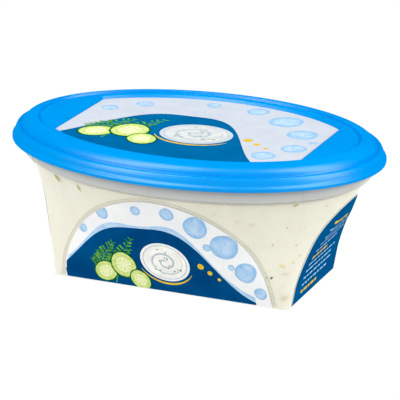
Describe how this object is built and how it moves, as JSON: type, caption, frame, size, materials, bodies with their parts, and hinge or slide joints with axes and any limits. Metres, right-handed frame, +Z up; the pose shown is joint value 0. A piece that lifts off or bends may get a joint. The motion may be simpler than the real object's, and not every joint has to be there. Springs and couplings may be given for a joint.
{
  "type": "tub of tzatziki dip",
  "caption": "Oval deli tub filled with tzatziki dip, closed by a push-on lid, with arched label panels on its sides and a label on the lid.",
  "frame": {"origin": "centre of the flat base, on the surface the tub stands on", "axes": "+X along the tub's long side, +Y across it away from the front label, +Z up through the lid"},
  "size_m": [0.14, 0.102, 0.0561],
  "materials": {
    "clear_tub": "clear natural plastic, satin",
    "dip": "moist cream-white dip with herb flecks",
    "lid_blue": "satin moulded plastic",
    "label_film": "printed in-mould film, satin"
  },
  "bodies": {
    "root": {"tub": "clear_tub", "dip": "dip", "lid": "lid_blue", "lid_label": "label_film", "label_front": "label_film", "label_right": "label_film", "label_back": "label_film", "label_left": "label_film"}
  },
  "joints": []
}
